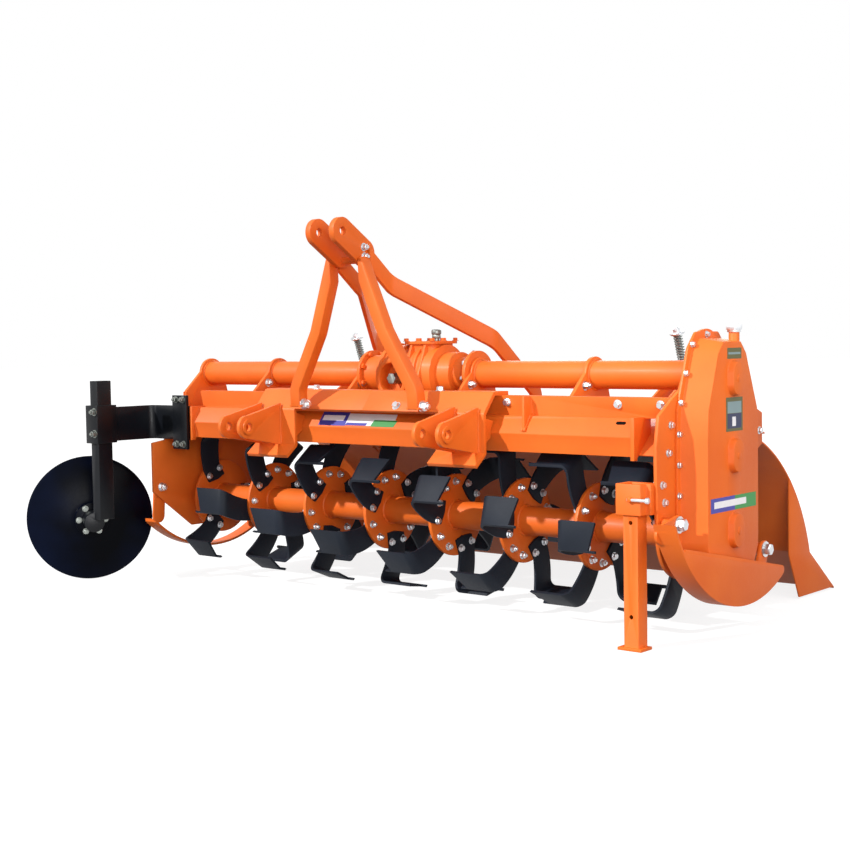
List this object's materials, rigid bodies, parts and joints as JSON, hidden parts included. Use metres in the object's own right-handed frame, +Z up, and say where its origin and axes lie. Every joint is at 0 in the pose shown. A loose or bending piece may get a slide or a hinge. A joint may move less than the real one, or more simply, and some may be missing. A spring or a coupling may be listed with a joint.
{
  "type": "rotary tiller",
  "caption": "Three-point mounted rotary tiller: hooded rotor of L-blades under a round tube frame, side gear case, mast, rear board, skids, stand and side furrow disc.",
  "frame": {"origin": "on the floor under the middle of the whole machine's box, as parked", "axes": "+X to the machine's right across the working width, +Y rearward, +Z up"},
  "size_m": [2.5219, 1.4898, 1.217],
  "materials": {
    "orange_paint": "gloss enamel",
    "blade_steel": "satin black",
    "black_paint": "gloss black",
    "bright_steel": "zinc plated",
    "spring_steel": "grey"
  },
  "bodies": {
    "frame": {"disc_arm": "black_paint", "disc_standard": "black_paint", "filler_cap": "bright_steel", "front_beam": "orange_paint", "gear_case": "orange_paint", "gearbox": "orange_paint", "hinge_lugs": "orange_paint", "hinge_rod": "bright_steel", "hitch_clamp_left": "orange_paint", "hitch_clamp_right": "orange_paint", "hood_shell": "orange_paint", "main_tube_left": "orange_paint", "main_tube_right": "orange_paint", "mast_head": "orange_paint", "mast_leg_left": "orange_paint", "mast_leg_right": "orange_paint", "mast_stay_left": "orange_paint", "mast_stay_right": "orange_paint", "pto_guard": "orange_paint", "rotor_bearing": "orange_paint", "side_plate_left": "orange_paint", "side_plate_right": "orange_paint", "skid_left": "orange_paint", "skid_right": "orange_paint", "spring_bracket_left": "orange_paint", "spring_bracket_right": "orange_paint", "stand_socket": "orange_paint", "tube_saddles": "orange_paint"},
    "rotor": {"rotor_shaft": "orange_paint", "blade_ring_1": "blade_steel", "blade_ring_2": "blade_steel", "blade_ring_3": "blade_steel", "blade_ring_4": "blade_steel", "blade_ring_5": "blade_steel", "blade_ring_6": "blade_steel", "blade_ring_7": "blade_steel", "blade_ring_8": "blade_steel"},
    "pto": {"pto_shaft": "bright_steel"},
    "disc": {"furrow_disc": "black_paint"},
    "stand": {"stand_leg": "orange_paint"},
    "board": {"rear_board": "orange_paint"},
    "rod_left": {"spring_rod_left": "bright_steel", "spring_left": "spring_steel"},
    "rod_right": {"spring_rod_right": "bright_steel", "spring_right": "spring_steel"}
  },
  "joints": [
    {"name": "rotor_spin", "type": "hinge", "parent": "frame", "child": "rotor", "pos_m": [0.113, -0.174, 0.283], "axis": [1, 0, 0], "continuous": true},
    {"name": "pto_spin", "type": "hinge", "parent": "frame", "child": "pto", "pos_m": [0.083, -0.249, 0.72], "axis": [0, -1, 0], "continuous": true},
    {"name": "disc_spin", "type": "hinge", "parent": "frame", "child": "disc", "pos_m": [-1.137, -0.554, 0.222], "axis": [0.848, -0.5299, 0], "continuous": true},
    {"name": "stand_slide", "type": "slide", "parent": "frame", "child": "stand", "axis": [0, 0, 1], "range_m": [0, 0.25]},
    {"name": "board_swing", "type": "hinge", "parent": "frame", "child": "board", "pos_m": [0.113, 0.214, 0.541], "axis": [1, 0, 0], "range_deg": [0, 45]},
    {"name": "rod_left_tilt", "type": "hinge", "parent": "board", "child": "rod_left", "pos_m": [-0.577, 0.418, 0.447], "axis": [1, 0, 0], "range_deg": [-18, 0]},
    {"name": "rod_right_tilt", "type": "hinge", "parent": "board", "child": "rod_right", "pos_m": [0.803, 0.418, 0.447], "axis": [1, 0, 0], "range_deg": [-18, 0]}
  ],
  "couplings": [
    {"joint": "pto_spin", "follows": "rotor_spin", "ratio": 2.57},
    {"joint": "rod_left_tilt", "follows": "board_swing", "ratio": -0.38},
    {"joint": "rod_right_tilt", "follows": "board_swing", "ratio": -0.38}
  ]
}
